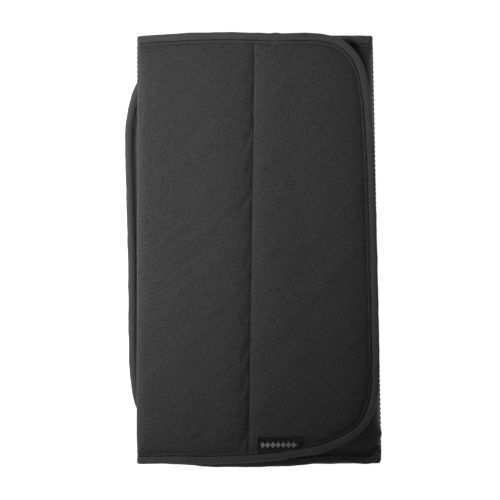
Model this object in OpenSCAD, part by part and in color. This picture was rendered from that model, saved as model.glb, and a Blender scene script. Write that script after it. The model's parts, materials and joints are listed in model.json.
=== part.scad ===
// Folding changing mat, padded and bound, folded in three like a Z.
// Layers from the ground up: base panel, middle panel, flap. The base and the flap end in rounded tips.
// X runs across the folds, Y along them, Z up. The origin is the middle of the footprint, at the ground.

/* [Mat] */
// Width of the mat, along its folds
mat_w = 413; // [300:1:520]
// Distance between the two fold seams
middle_l = 230; // [180:1:300]
// Reach of the flap from the left fold to the end of its tip
flap_l = 234; // [200:0.5:300]
// Reach of the base from the right fold to the end of its tip
base_l = 241; // [200:0.5:320]
// Angle by which the right fold leans in plan, so that its far end lies further left
fold_lean = 1.2; // [0:0.1:2]
// Thickness of one padded panel
panel_t = 8; // [6:0.1:12]
// Clearance between two panels that lie on each other
layer_gap = 0.4; // [0.3:0.05:1.5]

/* [Quilting] */
// Distance from the left fold to the flap's quilting seam
flap_seam_l = 109; // [80:0.5:140]
// Angle by which the flap's quilting seam leans in plan, so that its far end lies further right
seam_lean = 0.85; // [0:0.05:2]
// Distance from the left fold to the middle panel's quilting seam
middle_seam_l = 115; // [80:0.5:140]
// Distance from the right fold to the base's quilting seam
base_seam_l = 115; // [80:0.5:140]
// Width over which the padding swells from a seam to its full thickness
shoulder = 9; // [6:0.1:14]
// Flat strip of cloth from a seam to the padding
seam_gap = 1.5; // [1.4:0.1:3]
// Flat strip of cloth from a fold to the padding
fold_gap = 0.8; // [0.7:0.1:2]
// Angle through which the flap's tip folds up about its seam
flap_fold = 115; // [60:1:118]

/* [Tips] */
// Corner radius of the flap's tip at the far edge
flap_far_r = 46; // [32:1:80]
// Corner radius of the flap's tip at the near edge
flap_near_r = 82; // [40:1:110]
// Corner radius of the base's tip
base_r = 90; // [40:1:120]

/* [Cloth] */
// Thickness of the outer cloth and of the lining
cloth_t = 0.5; // [0.3:0.05:0.7]
// Clearance between the padding and the cloth around it
pad_gap = 0.15; // [0.05:0.05:0.4]

/* [Binding] */
// Width of the binding tape on each face
binding_w = 10; // [7:0.5:15]
// Thickness of the binding tape
tape_t = 0.5; // [0.3:0.05:0.7]
// Thickness of the pressed edge inside the binding
core_t = 1.4; // [1:0.1:2]
// Distance from the tape's inner edge to its row of stitches
stitch_in = 2.5; // [1.5:0.1:4]
// Distance from the flap's seam to the place where the tape's ends overlap
join_from_seam = 21; // [12:1:60]
// Length of that overlap
join_l = 9; // [5:0.5:14]
// How much thicker the overlap is, on each face
join_rise = 0.45; // [0.2:0.05:0.8]

/* [Thread] */
// Diameter of the quilting thread
thread_d = 0.7; // [0.4:0.05:0.8]
// How far the binding's stitches stand out of the tape
stitch_rise = 0.2; // [0.1:0.05:0.4]
// Width of the binding's row of stitches
stitch_w = 0.5; // [0.3:0.05:1]

/* [Label] */
// Length of the woven label along the binding
label_l = 42; // [20:1:60]
// How far the label lies in over the flap
label_w = 12; // [10:0.5:20]
// Thickness of the label, which is a strip folded double
label_t = 0.6; // [0.4:0.1:1.2]
// Distance from the flap's seam to the label
label_from_seam = 8; // [6:0.5:15]
// Clearance between the label and what it lies on
label_gap = 0.15; // [0.1:0.05:0.6]

/* [Hidden] */

$fn = 96;

// Heights: the middle of each panel, and the two fold seams that lie between panels
half_t = panel_t / 2;
half_w = mat_w / 2;
pad_half_w = half_w - binding_w;
base_z = half_t;
middle_z = base_z + panel_t + layer_gap;
flap_z = middle_z + panel_t + layer_gap;
right_fold_z = (base_z + middle_z) / 2;
left_fold_z = (middle_z + flap_z) / 2;

// Places along X, centred on the footprint
left_fold_x = -(max(flap_l, middle_l) + middle_l - base_l) / 2;
right_fold_x = left_fold_x + middle_l;
flap_seam_x = left_fold_x + flap_seam_l;
middle_seam_x = left_fold_x + middle_seam_l;
base_seam_x = right_fold_x - base_seam_l;
flap_tip_l = flap_l - flap_seam_l;
base_tip_l = base_l - base_seam_l;

// The padding's shoulder is an arc, level at the top, that falls to the panel's middle at a seam
arc_r = (shoulder * shoulder + half_t * half_t) / panel_t;

// The binding: tape around a pressed core. Towards a fold it leans to the fold's height.
fit = 0.05;
band_t = core_t + 2 * tape_t;
lean = half_t - band_t / 2 - stitch_rise - fit;
web_t = 0.4;
web_gap = web_t / tan(90 - flap_fold / 2) + 0.3;
band_gap = (band_t / 2 + stitch_rise) / tan(90 - flap_fold / 2) + 0.3;
hem = 0.5;
seat_t = 0.3;

cover_colour = "#3d3d3f";
lining_colour = "#57585c";
wadding_colour = "#e9e7e1";
binding_colour = "#454548";
thread_colour = "#222224";
label_colour = "#18181a";

// A rectangle between two corners.
module block(a, b) {
    translate(a) square(b - a);
}

// Stands an outline in X and Z along Y, from y0 to y1, and one in Y and Z along X, from x0 to x1.
module along_y(y0, y1) {
    translate([0, y1, 0]) rotate([90, 0, 0]) linear_extrude(height = y1 - y0) children();
}
module along_x(x0, x1) {
    translate([x0, 0, 0]) rotate([90, 0, 90]) linear_extrude(height = x1 - x0) children();
}

// The right end of a padding's cross-section, at x, drawn in by the thickness of a skin.
// way 0 pinches to the middle, as at a seam. Ways 1 and -1 pinch to the top and the bottom, as at a fold.
module pad_end(x, way, skin) {
    if (way == 0)
        intersection() {
            translate([x - shoulder, half_t - arc_r]) circle(arc_r - skin);
            translate([x - shoulder, arc_r - half_t]) circle(arc_r - skin);
            block([x - shoulder, -panel_t], [x, panel_t]);
        }
    else
        intersection() {
            translate([x - panel_t, way * half_t]) circle(panel_t - skin);
            block([x - panel_t, -half_t + skin], [x, half_t - skin]);
        }
}

// The cross-section of a channel of padding between x0 and x1.
module pad_section(x0, x1, way0, way1, skin) {
    block([x0 + (way0 == 0 ? shoulder : panel_t), -half_t + skin], [x1 - (way1 == 0 ? shoulder : panel_t), half_t - skin]);
    pad_end(x1, way1, skin);
    mirror([1, 0]) pad_end(-x0, way0, skin);
}

// A channel of padding between two seams or folds, from one binding to the other.
module pad(x0, x1, way0, way1, skin) {
    intersection() {
        along_y(-half_w, half_w) pad_section(x0, x1, way0, way1, skin);
        along_x(x0 - 1, x1 + 1) pad_section(-pad_half_w, pad_half_w, 0, 0, skin);
    }
}

// The rest of this group is a tip in its own frame: its seam crosses X = 0 and may lean, and the tip ends at X = l.
// Its outline, drawn in from the edge.
module tip_outline(l, far_r, near_r, inset) {
    far_corner = [[l - far_r, half_w - far_r], [l, half_w]];
    near_corner = [[l - near_r, -half_w], [l, near_r - half_w]];
    difference() {
        block([-3 * panel_t, inset - half_w], [l - inset, half_w - inset]);
        block(far_corner[0], far_corner[1]);
        block(near_corner[0], near_corner[1]);
    }
    intersection() {
        translate([l - far_r, half_w - far_r]) circle(far_r - inset);
        block(far_corner[0], far_corner[1]);
    }
    intersection() {
        translate([l - near_r, near_r - half_w]) circle(near_r - inset);
        block(near_corner[0], near_corner[1]);
    }
}

// A quarter of a round pad, that fills a rounded corner of radius r.
module pad_corner(r, skin) {
    rotate_extrude(angle = 90) {
        block([0, -half_t + skin], [r - binding_w - shoulder, half_t - skin]);
        pad_end(r - binding_w, 0, skin);
    }
}

module tip_pad(l, far_r, near_r, seam_lean, skin) {
    union() {
        difference() {
            intersection() {
                pad(-l, l - binding_w, 0, 0, skin);
                rotate([0, 0, -seam_lean]) along_y(-mat_w, mat_w) pad_section(seam_gap, 2 * l, 0, 0, skin);
            }
            translate([l - far_r, half_w - far_r, -panel_t]) cube([far_r, far_r, 2 * panel_t]);
            translate([l - near_r, -half_w, -panel_t]) cube([near_r, near_r, 2 * panel_t]);
        }
        translate([l - far_r, half_w - far_r, 0]) pad_corner(far_r, skin);
        translate([l - near_r, near_r - half_w, 0]) rotate([0, 0, -90]) pad_corner(near_r, skin);
    }
}

// A band around the tip's edge, between two distances from it and two heights, from x past the seam on.
module tip_band(l, far_r, near_r, seam_lean, outer, inner, z0, z1, x) {
    translate([0, 0, z0]) linear_extrude(height = z1 - z0)
        difference() {
            tip_outline(l, far_r, near_r, outer);
            tip_outline(l, far_r, near_r, inner);
            rotate(-seam_lean) block([-4 * panel_t, -mat_w], [x, mat_w]);
        }
}

module tip_tape(l, far_r, near_r, seam_lean, x) {
    difference() {
        tip_band(l, far_r, near_r, seam_lean, 0, binding_w, -band_t / 2, band_t / 2, x);
        tip_band(l, far_r, near_r, seam_lean, tape_t, binding_w + 1, -core_t / 2, core_t / 2, x - 1);
    }
}

module tip_stitches(l, far_r, near_r, seam_lean, x) {
    inset = binding_w - stitch_in;
    for (side = [-1, 1])
        tip_band(l, far_r, near_r, seam_lean, inset - stitch_w / 2, inset + stitch_w / 2,
            side * (band_t + stitch_rise) / 2 - stitch_rise / 2, side * (band_t + stitch_rise) / 2 + stitch_rise / 2, x);
}

// The cloth on one face of a tip: a skin over the padding, a hem in the binding and a web to the seam.
module tip_cloth(l, far_r, near_r, seam_lean, side, x_web, x_band) {
    z0 = side > 0 ? fit : fit - core_t / 2;
    z1 = side > 0 ? core_t / 2 - fit : -fit;
    difference() {
        union() {
            intersection() {
                tip_pad(l, far_r, near_r, seam_lean, 0);
                translate([-l, -half_w, side > 0 ? fit : -panel_t - fit]) cube([2 * l, mat_w, panel_t]);
            }
            tip_band(l, far_r, near_r, seam_lean, tape_t + fit, binding_w + hem, z0, z1, x_band);
            rotate([0, 0, -seam_lean]) web(x_web, seam_gap + hem, 0, side);
        }
        tip_pad(l, far_r, near_r, seam_lean, cloth_t);
    }
}

// ---- straight edges: each follows a path of points [x, z] in its panel ----
function lifted(path, dz) = [for (p = path) p + [0, dz]];
function ribbon(path, t) = concat(lifted(path, -t / 2), [for (i = [len(path) - 1:-1:0]) path[i] + [0, t / 2]]);

// Runs an outline along the far edge or the near one, between two distances from the edge.
module at_edge(far_edge, outer, inner) {
    if (far_edge) along_y(half_w - inner, half_w - outer) children();
    else along_y(outer - half_w, inner - half_w) children();
}

module edge_tape(path, far_edge) {
    difference() {
        at_edge(far_edge, 0, binding_w) polygon(ribbon(path, band_t));
        at_edge(far_edge, tape_t, binding_w + 1)
            polygon(ribbon(concat([path[0] - [1, 0]], path, [path[len(path) - 1] + [1, 0]]), core_t));
    }
}

module edge_hem(path, side, far_edge) {
    at_edge(far_edge, tape_t + fit, binding_w + hem)
        polygon(ribbon(lifted(path, side * core_t / 4), core_t / 2 - 2 * fit));
}

module edge_stitches(path, far_edge) {
    inset = binding_w - stitch_in;
    for (side = [-1, 1])
        at_edge(far_edge, inset - stitch_w / 2, inset + stitch_w / 2)
            polygon(ribbon(lifted(path, side * (band_t + stitch_rise) / 2), stitch_rise));
}

// The part of a panel above or below the line where its two cloths part.
module side_of(line, side) {
    last = len(line) - 1;
    along_y(-half_w, half_w)
        polygon(concat(lifted(line, side * fit), [line[last] + [0, side * mat_w], line[0] + [0, side * mat_w]]));
}

// A strip of cloth beside a seam, from x0 to x1, on one side of height z.
module web(x0, x1, z, side) {
    translate([x0, -pad_half_w, side > 0 ? z + fit : z - web_t]) cube([x1 - x0, 2 * pad_half_w, web_t - fit]);
}

// A round thread along a seam, between the bindings.
module seam_thread(x, z) {
    translate([x, 0, z]) rotate([90, 0, 0])
        color(thread_colour) cylinder(d = thread_d, h = 2 * pad_half_w, center = true);
}

// The strip of cloth under the thread of a seam that hinges, from x0 to x1.
module thread_seat(x0, x1, z) {
    translate([x0, -pad_half_w, z - thread_d / 2 - seat_t]) cube([x1 - x0, 2 * pad_half_w, seat_t]);
}

// The right fold's own frame, with the fold along Y at X = 0
module right_fold_frame() {
    translate([right_fold_x, 0, 0]) rotate([0, 0, fold_lean]) children();
}

// A channel of padding from the seam at x0 to the right fold, which it meets at the fold's angle.
module pad_to_right_fold(x0, way, skin) {
    intersection() {
        pad(x0, right_fold_x + middle_l, 0, 0, skin);
        right_fold_frame() along_y(-mat_w, mat_w) pad_section(-2 * middle_l, -fold_gap, 0, way, skin);
    }
}

// The frame of the flap's seam, with the seam along Y at X = 0
module flap_seam_frame() {
    translate([flap_seam_x, 0, 0]) rotate([0, 0, -seam_lean]) children();
}

// Where a binding stops short of the right fold, at the far edge or the near one.
function band_end(far_edge) = right_fold_x - fold_gap - (far_edge ? 1 : -1) * half_w * tan(fold_lean) - fit;

// The thread of a seam that stays flat lies on both faces of it.
module flat_seam_thread(x, z) {
    for (side = [-1, 1]) seam_thread(x, z + side * (web_t + thread_d / 2));
}

// ---- the channels, each in its panel's place ----
module base_inner_pad(skin) {
    translate([0, 0, base_z]) pad_to_right_fold(base_seam_x + seam_gap, 1, skin);
}
module base_tip_frame() {
    translate([base_seam_x, 0, base_z]) mirror([1, 0, 0]) children();
}
module base_tip_pad(skin) {
    base_tip_frame() tip_pad(base_tip_l, base_r, base_r, 0, skin);
}
module middle_left_pad(skin) {
    translate([0, 0, middle_z]) pad(left_fold_x + fold_gap, middle_seam_x - seam_gap, 1, 0, skin);
}
module middle_right_pad(skin) {
    translate([0, 0, middle_z]) pad_to_right_fold(middle_seam_x + seam_gap, -1, skin);
}
module flap_inner_pad(skin) {
    translate([0, 0, flap_z]) intersection() {
        pad(left_fold_x + fold_gap, flap_seam_x + flap_l, -1, 0, skin);
        flap_seam_frame() along_y(-mat_w, mat_w) pad_section(-2 * flap_l, -seam_gap, 0, 0, skin);
    }
}
module flap_tip_frame() {
    translate([flap_seam_x, 0, flap_z]) children();
}

// Where the cloths part, and the middle line of each binding
base_line = [[base_seam_x + seam_gap, base_z], [right_fold_x, base_z + half_t - cloth_t]];
middle_line = [[left_fold_x, middle_z + half_t - cloth_t], [middle_seam_x - seam_gap, middle_z],
    [middle_seam_x + seam_gap, middle_z], [right_fold_x, middle_z - half_t + cloth_t]];
flap_line = [[left_fold_x, flap_z - half_t + cloth_t], [flap_seam_x, flap_z], [flap_seam_x + panel_t, flap_z]];
function base_band(far_edge) = [[base_seam_x, base_z], [band_end(far_edge), base_z + lean]];
function middle_band(far_edge) = [[left_fold_x + fold_gap, middle_z + lean], [band_end(far_edge), middle_z - lean]];
function flap_band(far_edge) = [[left_fold_x + fold_gap, flap_z - lean],
    [flap_seam_x - band_gap + (far_edge ? 1 : -1) * pad_half_w * tan(seam_lean) - fit, flap_z]];

// ---- base panel ----
module base_cloth(side) {
    base_tip_frame() tip_cloth(base_tip_l, base_r, base_r, 0, side, 0, 0);
    difference() {
        union() {
            intersection() {
                base_inner_pad(0);
                side_of(base_line, side);
            }
            web(base_seam_x, base_seam_x + seam_gap + hem, base_z, side);
            if (side > 0) right_fold_frame() thread_seat(-fold_gap - hem, 0, right_fold_z);
            for (far_edge = [true, false]) edge_hem(base_band(far_edge), side, far_edge);
        }
        base_inner_pad(cloth_t);
    }
}
module base_outer_cover() {
    color(cover_colour) base_cloth(1);
}
module base_lining() {
    color(lining_colour) base_cloth(-1);
}
module base_wadding_inner() {
    color(wadding_colour) base_inner_pad(cloth_t + pad_gap);
}
module base_wadding_tip() {
    color(wadding_colour) base_tip_pad(cloth_t + pad_gap);
}
module base_binding() {
    color(binding_colour) {
        base_tip_frame() tip_tape(base_tip_l, base_r, base_r, 0, 0);
        for (far_edge = [true, false]) edge_tape(base_band(far_edge), far_edge);
    }
}
module base_binding_thread() {
    color(thread_colour) {
        base_tip_frame() tip_stitches(base_tip_l, base_r, base_r, 0, 0);
        for (far_edge = [true, false]) edge_stitches(base_band(far_edge), far_edge);
    }
}
module base_seam_thread() {
    flat_seam_thread(base_seam_x, base_z);
}

// ---- middle panel, which lies with its lining up ----
module middle_cloth(side) {
    difference() {
        union() {
            intersection() {
                union() {
                    middle_left_pad(0);
                    middle_right_pad(0);
                }
                side_of(middle_line, side);
            }
            web(middle_seam_x - seam_gap - hem, middle_seam_x + seam_gap + hem, middle_z, side);
            if (side > 0) thread_seat(left_fold_x, left_fold_x + fold_gap + hem, left_fold_z);
            for (far_edge = [true, false]) edge_hem(middle_band(far_edge), side, far_edge);
        }
        middle_left_pad(cloth_t);
        middle_right_pad(cloth_t);
    }
}
module middle_outer_cover() {
    color(cover_colour) middle_cloth(-1);
}
module middle_lining() {
    color(lining_colour) middle_cloth(1);
}
module middle_wadding_left() {
    color(wadding_colour) middle_left_pad(cloth_t + pad_gap);
}
module middle_wadding_right() {
    color(wadding_colour) middle_right_pad(cloth_t + pad_gap);
}
module middle_binding_far() {
    color(binding_colour) edge_tape(middle_band(true), true);
}
module middle_binding_near() {
    color(binding_colour) edge_tape(middle_band(false), false);
}
module middle_binding_thread() {
    color(thread_colour) for (far_edge = [true, false]) edge_stitches(middle_band(far_edge), far_edge);
}
module middle_seam_thread() {
    flat_seam_thread(middle_seam_x, middle_z);
}
module left_fold_thread() {
    seam_thread(left_fold_x, left_fold_z);
}
module right_fold_thread() {
    right_fold_frame() seam_thread(0, right_fold_z);
}

// ---- flap, from the left fold to its seam ----
module flap_inner_cloth(side) {
    difference() {
        union() {
            intersection() {
                flap_inner_pad(0);
                side_of(flap_line, side);
            }
            flap_seam_frame() web(-seam_gap - hem, -web_gap, flap_z, side);
            if (side < 0) flap_seam_frame() thread_seat(-seam_gap - hem, 0, flap_z);
            for (far_edge = [true, false]) edge_hem(flap_band(far_edge), side, far_edge);
        }
        flap_inner_pad(cloth_t);
    }
}
module flap_inner_cover() {
    color(cover_colour) flap_inner_cloth(1);
}
module flap_inner_lining() {
    color(lining_colour) flap_inner_cloth(-1);
}
module flap_inner_wadding() {
    color(wadding_colour) flap_inner_pad(cloth_t + pad_gap);
}
module flap_inner_binding_far() {
    color(binding_colour) edge_tape(flap_band(true), true);
}
module flap_inner_binding_near() {
    color(binding_colour) edge_tape(flap_band(false), false);
}
module flap_inner_binding_thread() {
    color(thread_colour) for (far_edge = [true, false]) edge_stitches(flap_band(far_edge), far_edge);
}
module flap_seam_thread() {
    flap_seam_frame() seam_thread(0, flap_z);
}

// ---- flap, from its seam to its rounded tip ----
module flap_tip_cover() {
    color(cover_colour) flap_tip_frame() tip_cloth(flap_tip_l, flap_far_r, flap_near_r, seam_lean, 1, web_gap, band_gap);
}
module flap_tip_lining() {
    color(lining_colour) flap_tip_frame() tip_cloth(flap_tip_l, flap_far_r, flap_near_r, seam_lean, -1, web_gap, band_gap);
}
module flap_tip_wadding() {
    color(wadding_colour) flap_tip_frame() tip_pad(flap_tip_l, flap_far_r, flap_near_r, seam_lean, cloth_t + pad_gap);
}
// The stretch of the far edge where the two ends of the tape overlap, in the tip's frame.
module join_space(grow) {
    translate([join_from_seam - grow, half_w - binding_w - 1, -panel_t])
        cube([join_l + 2 * grow, binding_w + 2, 2 * panel_t]);
}
module flap_tip_binding() {
    color(binding_colour) flap_tip_frame() difference() {
        tip_tape(flap_tip_l, flap_far_r, flap_near_r, seam_lean, band_gap);
        join_space(fit);
    }
}
module flap_tip_binding_thread() {
    color(thread_colour) flap_tip_frame() difference() {
        tip_stitches(flap_tip_l, flap_far_r, flap_near_r, seam_lean, band_gap);
        join_space(fit);
    }
}
// The overlap is two layers thick on each face.
module flap_binding_join() {
    x0 = join_from_seam;
    x1 = join_from_seam + join_l;
    color(binding_colour) flap_tip_frame() difference() {
        translate([x0, half_w - binding_w, -band_t / 2 - join_rise]) cube([join_l, binding_w, band_t + 2 * join_rise]);
        translate([x0 - 1, half_w - binding_w - 1, -core_t / 2]) cube([join_l + 2, binding_w + 1 - tape_t, core_t]);
    }
}

// ---- label, caught in the near binding and laid over the padding's shoulder ----
label_arc_r = arc_r + label_gap + label_t / 2 + fit;
label_arc_from = asin((shoulder - label_gap) / label_arc_r);
label_arc_steps = 8;
module label() {
    path = concat(
        [for (i = [0:label_arc_steps]) let (a = label_arc_from * (1 - i / label_arc_steps))
            [binding_w + shoulder - label_arc_r * sin(a), half_t - arc_r + label_arc_r * cos(a)]],
        [[binding_w + label_w, half_t - arc_r + label_arc_r]]
    );
    color(label_colour) flap_tip_frame()
        translate([0, -half_w, 0]) along_x(label_from_seam, label_from_seam + label_l) polygon(ribbon(path, label_t));
}

base_outer_cover();
base_lining();
base_wadding_inner();
base_wadding_tip();
base_binding();
base_binding_thread();
base_seam_thread();
middle_outer_cover();
middle_lining();
middle_wadding_left();
middle_wadding_right();
middle_binding_far();
middle_binding_near();
middle_binding_thread();
middle_seam_thread();
left_fold_thread();
right_fold_thread();
flap_inner_cover();
flap_inner_lining();
flap_inner_wadding();
flap_inner_binding_far();
flap_inner_binding_near();
flap_inner_binding_thread();
flap_seam_thread();
flap_tip_cover();
flap_tip_lining();
flap_tip_wadding();
flap_tip_binding();
flap_tip_binding_thread();
flap_binding_join();
label();
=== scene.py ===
import json
import math

import bpy
import numpy as np
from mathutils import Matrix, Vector
from mathutils.bvhtree import BVHTree


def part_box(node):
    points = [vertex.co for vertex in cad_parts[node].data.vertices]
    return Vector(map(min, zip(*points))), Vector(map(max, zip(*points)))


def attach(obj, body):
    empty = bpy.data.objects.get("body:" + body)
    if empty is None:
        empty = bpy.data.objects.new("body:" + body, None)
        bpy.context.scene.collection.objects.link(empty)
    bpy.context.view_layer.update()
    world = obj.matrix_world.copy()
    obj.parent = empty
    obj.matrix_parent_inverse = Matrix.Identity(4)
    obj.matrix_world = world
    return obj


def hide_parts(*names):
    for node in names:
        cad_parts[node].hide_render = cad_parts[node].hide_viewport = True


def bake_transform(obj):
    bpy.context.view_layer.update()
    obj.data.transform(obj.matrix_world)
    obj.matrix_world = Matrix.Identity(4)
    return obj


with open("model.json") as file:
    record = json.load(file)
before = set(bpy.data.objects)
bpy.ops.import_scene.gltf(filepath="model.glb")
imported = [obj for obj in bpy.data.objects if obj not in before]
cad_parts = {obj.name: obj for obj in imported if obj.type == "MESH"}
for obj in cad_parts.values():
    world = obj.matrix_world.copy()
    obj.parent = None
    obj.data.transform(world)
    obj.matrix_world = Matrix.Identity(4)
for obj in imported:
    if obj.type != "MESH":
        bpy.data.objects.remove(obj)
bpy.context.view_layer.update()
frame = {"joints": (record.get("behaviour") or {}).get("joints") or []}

# ---- The panels' plans ----
# The mat is one long quilted strip of two cloths and wadding, cut with rounded ends and folded in
# three. Each panel is set out here, in millimetres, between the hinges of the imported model.
MM = 0.001
PANEL_T = 8.0
hinges = {joint["name"]: joint for joint in frame["joints"]}


def line_x(where, y):
    """Where a seam or a fold lies at a place along it: a hinge's name, a name and a shift, or a plain x."""
    if isinstance(where, tuple):
        return line_x(where[0], y) + where[1]
    if not isinstance(where, str):
        return where + 0 * y
    axis, point = hinges[where]["axis"], np.array(hinges[where]["pos_m"]) / MM
    return point[0] + (y - point[1]) * axis[0] / axis[1]


def middle_of(node):
    """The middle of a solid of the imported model, in millimetres."""
    low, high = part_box(node)
    return (low + high) / 2 / MM


LEFT_Z, RIGHT_Z, FLAP_Z = (hinges[name]["pos_m"][2] / MM
                           for name in ("left_fold", "right_fold", "flap_seam"))
BASE_Z, MIDDLE_Z = PANEL_T / 2, (LEFT_Z + RIGHT_Z) / 2
base_seam_x, middle_seam_x = middle_of("base_seam_thread").x, middle_of("middle_seam_thread").x


def smooth_line(points, step=1.0):
    """A smooth line through a few points, in even steps."""
    p = np.array(points, float)
    p = np.vstack([2 * p[0] - p[1], p, 2 * p[-1] - p[-2]])
    t = np.linspace(0, 1, 24, endpoint=False)[:, None]
    out = [0.5 * (2 * b + (c - a) * t + (2 * a - 5 * b + 4 * c - d) * t**2 + (3 * b - a - 3 * c + d) * t**3)
           for a, b, c, d in zip(p, p[1:], p[2:], p[3:])]
    return even_line(np.vstack([*out, p[-2]]), step)


def along(line):
    """How far along a line each of its points is."""
    return np.concatenate([[0], np.cumsum(np.linalg.norm(np.diff(line, axis=0), axis=1))])


def even_line(line, step):
    """The same line with its points about a step apart."""
    s = along(line)
    return at_shares(line, np.linspace(0, 1, max(2, round(s[-1] / step) + 1)))


def at_shares(line, shares):
    """Points at shares of a line's length, from 0 to 1."""
    s = along(line)
    at = np.array(shares) * s[-1]
    return np.stack([np.interp(at, s, line[:, k]) for k in range(line.shape[1])], axis=1)


def inward(line):
    """The direction to the inside of an outline that runs clockwise, seen from above."""
    t = np.gradient(line, axis=0)
    t /= np.linalg.norm(t, axis=1)[:, None]
    return np.stack([t[:, 1], -t[:, 0]], axis=1)


def cut_at(line, where, keep):
    """The part of a line that lies right (1) or left (-1) of a seam or fold, ended exactly on it."""
    d = (line[:, 0] - line_x(where, line[:, 1])) * keep
    inside = np.nonzero(d > 0)[0]
    i, j = inside[0], inside[-1]
    out = line[i:j + 1]
    if i > 0:
        out = np.vstack([line[i] + (line[i - 1] - line[i]) * d[i] / (d[i] - d[i - 1]), out])
    if j < len(line) - 1:
        out = np.vstack([out, line[j] + (line[j + 1] - line[j]) * d[j] / (d[j] - d[j + 1])])
    return out


def rightward(line):
    """The line, turned round if need be so that it runs to the right."""
    return line if line[-1, 0] > line[0, 0] else line[::-1]


def farward(line):
    """The line, turned round if need be so that it runs away from the near edge."""
    return line if line[-1, 1] > line[0, 1] else line[::-1]


flap_outline = smooth_line([
    (-122, 204.6), (-104, 205.6), (-88, 206.8), (-60, 208.4), (-30, 209.0), (0, 208.6), (19, 207.9),
    (45, 208.4), (64, 207.6), (81, 203.5), (95, 194), (104.5, 180), (109.5, 163), (113.2, 136), (115.8, 95),
    (118.2, 20), (119.9, -50), (121, -113), (119.5, -140), (113.5, -161), (103, -175.5), (87, -186),
    (66, -194.2), (40, -199), (10, -203.2), (-40, -205.8), (-75, -205.4), (-104, -205.8), (-122, -206)])
base_outline = smooth_line([
    (128, -205.6), (60, -206.5), (3, -206.5), (-36, -206), (-70, -198), (-95, -180), (-111, -157),
    (-118.2, -130), (-120.4, -90), (-121, -20), (-122.8, 50), (-124, 105), (-122, 130), (-114, 158),
    (-97, 181), (-70, 198.5), (-38, 205.4), (3, 206.2), (60, 206.5), (122, 206.3)])
middle_far = smooth_line([(-122, 204.4), (-104, 204.8), (-60, 205.6), (0, 206), (60, 205.8), (84, 204.6),
                          (104, 205.8), (124, 204.2)])
middle_near = smooth_line([
    (130, -199.0), (121.5, -199.6), (116.5, -204.2), (110, -206.2), (98, -205.9), (84, -204.8), (62, -206),
    (35, -208.2), (0, -209.2), (-42, -209), (-58, -207.5), (-75, -206.4), (-104, -205.6), (-122, -205.2)])


def patch(near, far, left, right, us, vs):
    """A grid of points between four edge lines: near and far run to the right, left and right run away."""
    n, f, l, r = at_shares(near, us), at_shares(far, us), at_shares(left, vs), at_shares(right, vs)
    u, v = np.array(us)[None, :, None], np.array(vs)[:, None, None]
    ruled = (1 - v) * n[None] + v * f[None] + (1 - u) * l[:, None] + u * r[:, None]
    return ruled - ((1 - u) * ((1 - v) * near[0] + v * far[0]) + u * ((1 - v) * near[-1] + v * far[-1]))


HIDDEN = 5.0  # how far inside the mat's edge the cloths are cut, under the binding


def tip_panel(outline, fold, seam, side, corner_y):
    """The edge lines of a panel with a rounded tip: the part by its fold, and the part out to its tip."""
    line = cut_at(outline + HIDDEN * inward(outline), fold, side)
    far_in, near_in = (rightward(cut_at(line[line[:, 1] * s > 0], seam, -side)) for s in (1, -1))
    beyond = farward(cut_at(line, seam, side))
    x_end = np.abs(beyond[:, 0] - line_x(seam, beyond[:, 1])) > 60
    i, j = (int(np.argmin(np.where(x_end, np.abs(beyond[:, 1] - y), 1e9))) for y in corner_y)
    near_tip, tip, far_tip = rightward(beyond[:i + 1]), beyond[i:j + 1], rightward(beyond[j:])
    by_seam = np.array([far_in[-1], near_in[-1]] if side > 0 else [far_in[0], near_in[0]])[::-1]
    by_fold = np.array([near_in[0], far_in[0]] if side > 0 else [near_in[-1], far_in[-1]])
    if side > 0:
        return [(near_in, far_in, by_fold, by_seam), (near_tip, far_tip, by_seam, tip)]
    return [(near_tip, far_tip, tip, by_seam), (near_in, far_in, by_seam, by_fold)]


def whole_width(far, near, places):
    """The edge lines of a panel that runs from fold to fold, cut in parts at its seams."""
    lines = [rightward(line + HIDDEN * inward(line)) for line in (near, far)]
    parts = []
    for a, b in zip(places, places[1:]):
        n, f = (cut_at(cut_at(line, a, 1), b, -1) for line in lines)
        parts.append((n, f, np.array([n[0], f[0]]), np.array([n[-1], f[-1]])))
    return parts


class Panel:
    """One padded panel: its parts, its outer edge, and what its seams and folds do to its height."""

    def __init__(self, mid, parts, edge, seam, folds, lean):
        self.mid, self.parts, self.edge = mid, parts, edge
        self.seam, self.folds, self.lean = seam, folds, lean

    def band_height(self, x):
        """The height of the bound edge, which leans towards the fold that it turns round."""
        (x0, z0), (x1, z1) = self.lean
        return z0 + (z1 - z0) * np.clip((x - x0) / (x1 - x0), 0, 1)


FOLD_RISE = 2.0  # how far above and below a fold's own line the two bound edges meet it
left_x, right_x = (line_x(name, 0.0) for name in ("left_fold", "right_fold"))
base = Panel(BASE_Z, tip_panel(base_outline, "right_fold", base_seam_x, -1, (-176, 176)), base_outline,
             base_seam_x, [("right_fold", RIGHT_Z, -1, 1)],
             ((base_seam_x, BASE_Z), (right_x, RIGHT_Z - FOLD_RISE)))
middle = Panel(MIDDLE_Z, whole_width(middle_far, middle_near, ["left_fold", middle_seam_x, "right_fold"]),
               np.vstack([middle_far, middle_near]), middle_seam_x,
               [("left_fold", LEFT_Z, -1, -1), ("right_fold", RIGHT_Z, 1, 1)],
               ((left_x, LEFT_Z - FOLD_RISE), (right_x, RIGHT_Z + FOLD_RISE)))
flap = Panel(FLAP_Z, tip_panel(flap_outline, "left_fold", "flap_seam", 1, (-168, 186)), flap_outline,
             "flap_seam", [("left_fold", LEFT_Z, 1, -1)],
             ((left_x, LEFT_Z + FOLD_RISE), (line_x("flap_seam", 0.0), FLAP_Z)))

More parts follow.
